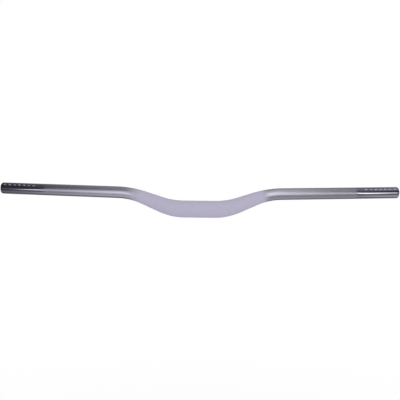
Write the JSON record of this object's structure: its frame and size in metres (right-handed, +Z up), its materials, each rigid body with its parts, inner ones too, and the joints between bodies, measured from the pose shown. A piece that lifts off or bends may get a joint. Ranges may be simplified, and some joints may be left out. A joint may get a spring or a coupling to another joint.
{
  "type": "riser handlebar",
  "caption": "Hollow aluminium riser handlebar: a thick straight clamp section tapers through smooth bends up to slimmer, swept-back arms with plain open grip ends.",
  "frame": {"origin": "centre of the clamp section, on its axis", "axes": "+X along the clamp axis to one tip, +Y the way the arms sweep back, +Z up as fitted to a level stem"},
  "size_m": [0.7798, 0.0747, 0.0661],
  "materials": {
    "anodised_alloy": "shot-peened and clear anodised, pale lilac grey, matte in the middle, satin on the arms, polished at the grip ends"
  },
  "bodies": {
    "root": {"handlebar": "anodised_alloy"}
  },
  "joints": []
}
